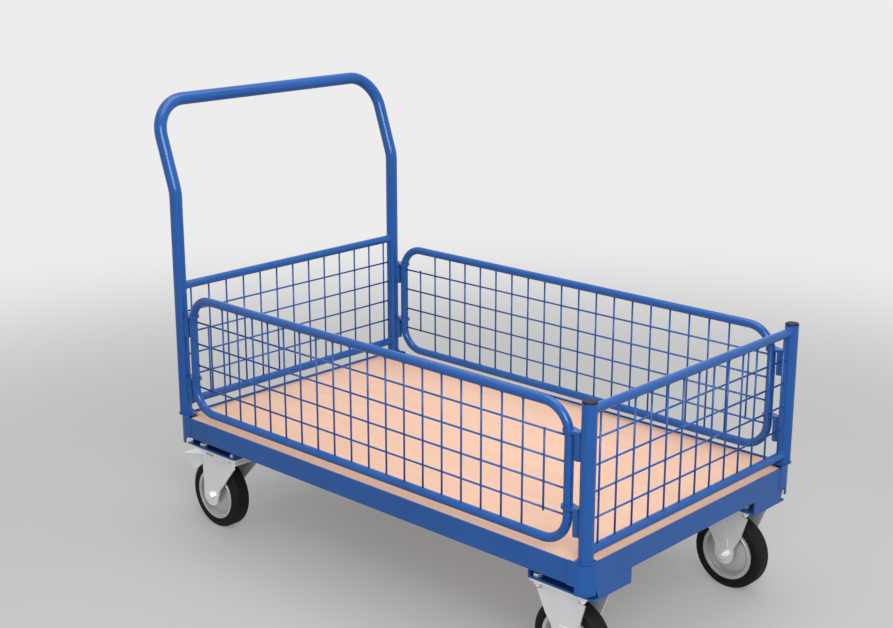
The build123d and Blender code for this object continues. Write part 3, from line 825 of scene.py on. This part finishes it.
class TROLLEY_OT_castors(bpy.types.Operator):
    """Castor plates, legs, forks, brake pedals and axle bolts in bright zinc"""
    bl_idname = "trolley.castors"
    bl_label = "Castors"

    def execute(self, context):
        for flank in FLANKS:
            eased(f"front_{flank}_castor", detail().sheet_ease)
            eased(f"rear_{flank}_plate", detail().sheet_ease)
            eased(f"rear_{flank}_fork", detail().sheet_ease)
            eased(f"rear_{flank}_pedal", detail().small_ease)
            eased(f"rear_{flank}_axle_fasteners", detail().small_ease)
        eased("front_axle_fasteners", detail().small_ease)
        return {"FINISHED"}


class TROLLEY_OT_wheels(bpy.types.Operator):
    """Tyres with moulded lines, and pressed wheel discs with rolled lips"""
    bl_idname = "trolley.wheels"
    bl_label = "Wheels"
    steps = 96

    def execute(self, context):
        for wheel in [f"{end}_{flank}" for end in ENDS for flank in FLANKS]:
            disc = f"{wheel}_rim"
            bore, reach, half = self.flange(disc)
            self.tyre(f"{wheel}_tyre", reach)
            eased(disc, detail().small_ease)
            self.lips(disc, bore, half)
        return {"FINISHED"}

    def flange(self, disc):
        """Inner radius, outer radius and half width of a disc's flat rim."""
        center = middle(disc)
        spots = []
        for vert in cad[disc].data.vertices:
            spot = vert.co - center
            spots.append((sqrt(spot.x ** 2 + spot.z ** 2), abs(spot.y)))
        slack = 1e-4
        reach = max(radius for radius, across in spots)
        half = max(across for radius, across in spots if radius > reach - slack)
        bore = min(radius for radius, across in spots if abs(across - half) < slack)
        return bore, reach, half

    def tyre(self, node, lip):
        """A solid tyre outside a radius, with lines moulded round its walls."""
        size = span(node)
        outer = size.z / 2
        half = size.y / 2
        round_off = detail().shoulder
        width = detail().groove
        seat = lip - detail().seat
        edge = outer - round_off
        outline = [(seat, width - half), (lip, width - half), (lip, -half)]
        for line in range(detail().grooves):
            r = lip + (edge - lip) * (line + 1) / (detail().grooves + 1)
            bottom = width / 2 - half
            outline += [(r - width / 2, -half), (r - width / 4, bottom),
                        (r + width / 4, bottom), (r + width / 2, -half)]
        outline += arc((edge, round_off - half), round_off, -90, 0, steps=8)
        outline += [(radius, -across) for radius, across in reversed(outline)]
        self.turned(f"{node}_body", [outline], node, node)

    def lips(self, disc, bore, half):
        """Rolled rings where the flat rim turns down into the disc, one on each side."""
        rings = [arc((bore, side * half), detail().rolled, 0, 315, steps=7) for side in (-1, 1)]
        self.turned(f"{disc}_lips", rings, disc)

    def turned(self, name, outlines, node, *replaced):
        """A piece turned about a wheel's axle from closed outlines."""
        shape = bmesh.new()
        center = middle(node)
        for outline in outlines:
            lathe(shape, outline, self.steps, center)
        bmesh.ops.recalc_face_normals(shape, faces=shape.faces)
        made = place_object(name, from_bmesh(name, shape, angle=50.0))
        publish(made, body_of[node], slot_of[node], *replaced)


class TROLLEY_OT_bolts(bpy.types.Operator):
    """Castor bolts and nuts"""
    bl_idname = "trolley.bolts"
    bl_label = "Castor bolts"
    turn_step = 0.4

    def execute(self, context):
        nuts = lumps("castor_nuts")
        bolts = lumps("castor_bolts")
        low, high = bolts[0]
        flats = min((high - low).xy)
        radius, seat = self.shank(low, high, flats)
        bolt = hex_piece("bolt", flats, high.z - seat, radius, seat - low.z, thread=detail().thread)
        places = self.places(bolts, seat, tilt=0)
        copies_of("castor_bolt_set", bolt, places, "chassis", "zinc_steel", "castor_bolts")
        low, high = nuts[0]
        stub = 0.1 * radius
        nut = hex_piece("nut", flats, high.z - low.z, radius, stub)
        places = self.places(nuts, high.z, tilt=pi)
        copies_of("castor_nut_set", nut, places, "chassis", "zinc_steel", "castor_nuts")
        return {"FINISHED"}

    def places(self, boxes, height, tilt):
        """The middle of each box at a height, each turned a step further than the one before."""
        spots = [(low + high) / 2 for low, high in boxes]
        return [((spot.x, spot.y, height), (tilt, 0, self.turn_step * index))
                for index, spot in enumerate(spots)]

    def shank(self, low, high, flats):
        """A bolt's shank radius, from the points at its tip, and the height of its head's underside."""
        center = (low + high) / 2
        slack = 1e-5
        spots = [vert.co - center for vert in cad["castor_bolts"].data.vertices]
        spots = [spot for spot in spots if spot.xy.length < flats]
        tip = min(spot.z for spot in spots)
        radius = max(spot.xy.length for spot in spots if spot.z < tip + slack)
        seat = min(spot.z for spot in spots if spot.xy.length > flats / 2 - slack)
        return radius, center.z + seat


class TROLLEY_OT_welds(bpy.types.Operator):
    """Weld beads where panel tubes, sleeves and corners meet their neighbours"""
    bl_idname = "trolley.welds"
    bl_label = "Weld beads"
    loop_steps = 48
    crease = 0.55

    def execute(self, context):
        loops = []
        for node in ("front_top_tube", "front_bottom_tube", "handle_top_tube", "handle_bottom_tube"):
            loops += self.cope_loops(node)
        self.beads("tube_weld_beads", loops, closed=True)
        self.beads("sleeve_weld_beads", self.sleeve_lines(), closed=False)
        self.beads("corner_weld_beads", self.corner_lines(), closed=False)
        return {"FINISHED"}

    def cope_loops(self, node):
        """Where a panel tube's ends are fitted round the posts."""
        center = middle(node)
        radius = span(node).z / 2
        post = span("front_near_post").x / 2
        post_y = abs(middle("front_near_post").y)
        loops = []
        for side in (-1, 1):
            loop = []
            for step in range(self.loop_steps):
                angle = 2 * pi * step / self.loop_steps
                x = radius * cos(angle)
                y = side * (post_y - sqrt(post ** 2 - x ** 2))
                loop.append((center.x + x, y, center.z + radius * sin(angle)))
            loops.append(loop)
        return loops

    def sleeve_lines(self):
        """Upright beads in the crease between each sleeve and its post, one on each side."""
        post = span("front_near_post").x / 2
        post_x = {True: middle("front_near_post").x, False: middle("handle_top_tube").x}
        lines = []
        for low, high in lumps("hook_sleeves"):
            radius = (high.y - low.y) / 2
            center = (low + high) / 2
            ahead = center.x > 0
            turn = 1 if ahead else -1
            sleeve_x = low.x + radius if ahead else high.x - radius
            off = self.crease * radius
            on_post = post_x[ahead] - turn * sqrt(post ** 2 - off ** 2)
            on_sleeve = sleeve_x + turn * sqrt(radius ** 2 - off ** 2)
            x = (on_post + on_sleeve) / 2
            lines += [self.upright(x, center.y + side * off, low.z, high.z) for side in (-1, 1)]
        return lines

    def corner_lines(self):
        """Upright beads where the corners' legs end on the rails."""
        lines = []
        for end in ENDS:
            end_low, end_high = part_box(f"{end}_end_rail")
            face_x = end_high.x if end == "front" else end_low.x
            for flank in FLANKS:
                low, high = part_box(f"{end}_{flank}_corner")
                rail_low, rail_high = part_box(f"{flank}_side_rail")
                face_y = rail_high.y if flank == "far" else rail_low.y
                inner_x = low.x if end == "front" else high.x
                inner_y = low.y if flank == "far" else high.y
                lines.append(self.upright(inner_x, face_y, rail_low.z, rail_high.z))
                lines.append(self.upright(face_x, inner_y, end_low.z, end_high.z))
        return lines

    def upright(self, x, y, low, high):
        """An upright line that stops a little short at both ends."""
        back = detail().bead_back
        return [(x, y, low + back), (x, y, high - back)]

    def beads(self, name, lines, closed):
        """One piece of weld beads along lines of points."""
        vertices = []
        edges = []
        for line in lines:
            start = len(vertices)
            vertices += line
            links = len(line) if closed else len(line) - 1
            edges += [(start + step, start + (step + 1) % len(line)) for step in range(links)]
        mesh = bpy.data.meshes.new(name)
        mesh.from_pydata(vertices, edges, [])
        tree, keys = bead_tree()
        made = grown(name, mesh, tree, keys, {"Radius": detail().bead, "Step": detail().bead_step,
                                              "Material": slot_material("blue_paint")})
        publish(made, "chassis", "blue_paint")


class TROLLEY_OT_stage(bpy.types.Operator):
    """Floor, soft lights and camera"""
    bl_idname = "trolley.stage"
    bl_label = "Stage"

    def execute(self, context):
        stage = context.scene.trolley_stage
        self.floor(stage)
        self.world(stage)
        self.lamp("Key", stage.key_place, stage.key_aim, stage.key_size, stage.key)
        self.lamp("Top", stage.top_place, stage.top_aim, stage.top_size, stage.top)
        self.camera(stage)
        context.scene.view_settings.view_transform = "Standard"
        return {"FINISHED"}

    def seen(self, tree):
        """One for rays that show the stage itself: straight, mirrored or through glass."""
        path = add(tree, "ShaderNodeLightPath").outputs
        shown = maths(tree, "MAXIMUM", path["Is Camera Ray"], path["Is Glossy Ray"])
        return maths(tree, "MAXIMUM", shown, path["Is Transmission Ray"])

    def floor(self, stage):
        """A wide floor that fades into the surround away from the trolley."""
        shape = bmesh.new()
        bmesh.ops.create_grid(shape, x_segments=1, y_segments=1, size=stage.floor_half)
        made = place_object("floor", from_bmesh("floor", shape))
        coat, tree, shader = material("Pale floor")
        place = add(tree, "ShaderNodeTexCoord").outputs["Object"]
        tone = remap(tree, noise(tree, place, 1.3, depth=5.0), 0.3, 0.7)
        color = mix(tree, tone, scaled(stage.floor, 0.98), scaled(stage.floor, 1.02))
        rough = between(tree, tone, 0.60, 0.70)
        shade(tree, shader, color, rough, noise(tree, place, 60.0), bump=0.02, distance=0.001)
        shader.inputs["Specular IOR Level"].default_value = 0.2
        distance = add(tree, "ShaderNodeVectorMath", {0: place}, operation="LENGTH").outputs["Value"]
        fade = remap(tree, distance, stage.fade_start, stage.fade_end, to_low=stage.haze, ease="SMOOTHERSTEP")
        glow = add(tree, "ShaderNodeEmission", {"Color": (*stage.surround, 1), "Strength": 1.0})
        shown = maths(tree, "MULTIPLY", fade, self.seen(tree))
        self.blend(tree, shown, shader, glow, "Material Output")
        made.data.materials.append(coat)

    def world(self, stage):
        """A pale surround to look at, and an even light from all round."""
        world = bpy.data.worlds.new("Soft surround")
        world.use_nodes = True
        tree = world.node_tree
        shown = add(tree, "ShaderNodeBackground", {"Color": (*stage.surround, 1), "Strength": 1.0})
        light = add(tree, "ShaderNodeBackground", {"Color": (1, 1, 1, 1), "Strength": stage.sky})
        self.blend(tree, self.seen(tree), light, shown, "World Output")
        bpy.context.scene.world = world

    def blend(self, tree, amount, first, second, end):
        """Mixes two shaders by an amount and links the mix to the tree's end."""
        mixed = add(tree, "ShaderNodeMixShader", {0: amount, 1: first.outputs[0], 2: second.outputs[0]})
        tree.links.new(mixed.outputs[0], tree.nodes[end].inputs["Surface"])

    def lamp(self, name, place, aim, size, power):
        """A square lamp at a place, turned to a height above the floor's middle."""
        light = bpy.data.lights.new(name, "AREA")
        light.energy = power
        light.size = size
        made = bpy.data.objects.new(name, light)
        made.location = place
        made.rotation_euler = (Vector((0, 0, aim)) - Vector(place)).to_track_quat("-Z", "Y").to_euler()
        bpy.context.scene.collection.objects.link(made)

    def camera(self, stage):
        """The camera at the settings' place and turn."""
        lens = bpy.data.cameras.new("Camera")
        lens.sensor_width = stage.sensor
        lens.lens = stage.focal * stage.sensor
        lens.clip_start = 0.05
        made = bpy.data.objects.new("Camera", lens)
        made.location = stage.camera
        made.rotation_euler = (pi / 2 - stage.elevation, 0, stage.azimuth)
        bpy.context.scene.collection.objects.link(made)
        bpy.context.scene.camera = made


OPERATORS = (TROLLEY_OT_inner, TROLLEY_OT_platform, TROLLEY_OT_deck, TROLLEY_OT_handle, TROLLEY_OT_front,
             TROLLEY_OT_panels, TROLLEY_OT_wires, TROLLEY_OT_castors, TROLLEY_OT_wheels, TROLLEY_OT_bolts,
             TROLLEY_OT_welds, TROLLEY_OT_stage)


class TROLLEY_PT_sidebar(bpy.types.Panel):
    """The trolley's steps and settings"""
    bl_label = "Platform trolley"
    bl_idname = "TROLLEY_PT_sidebar"
    bl_space_type = "VIEW_3D"
    bl_region_type = "UI"
    bl_category = "Trolley"

    def draw(self, context):
        for operator in OPERATORS:
            self.layout.operator(operator.bl_idname)
        for key, kind in SETTINGS.items():
            box = self.layout.box()
            for name in kind.__annotations__:
                box.prop(getattr(context.scene, key), name)


SETTINGS = {"trolley_finish": TrolleyFinish, "trolley_detail": TrolleyDetail, "trolley_stage": TrolleyStage}


def register():
    for kind in (*SETTINGS.values(), *OPERATORS, TROLLEY_PT_sidebar):
        bpy.utils.register_class(kind)
    for name, kind in SETTINGS.items():
        setattr(bpy.types.Scene, name, PointerProperty(type=kind))


def unregister():
    for name in SETTINGS:
        delattr(bpy.types.Scene, name)
    for kind in (TROLLEY_PT_sidebar, *OPERATORS, *SETTINGS.values()):
        bpy.utils.unregister_class(kind)


def main():
    register()
    for operator in OPERATORS:
        prefix, name = operator.bl_idname.split(".")
        getattr(getattr(bpy.ops, prefix), name)()


if __name__ == "__main__":
    main()
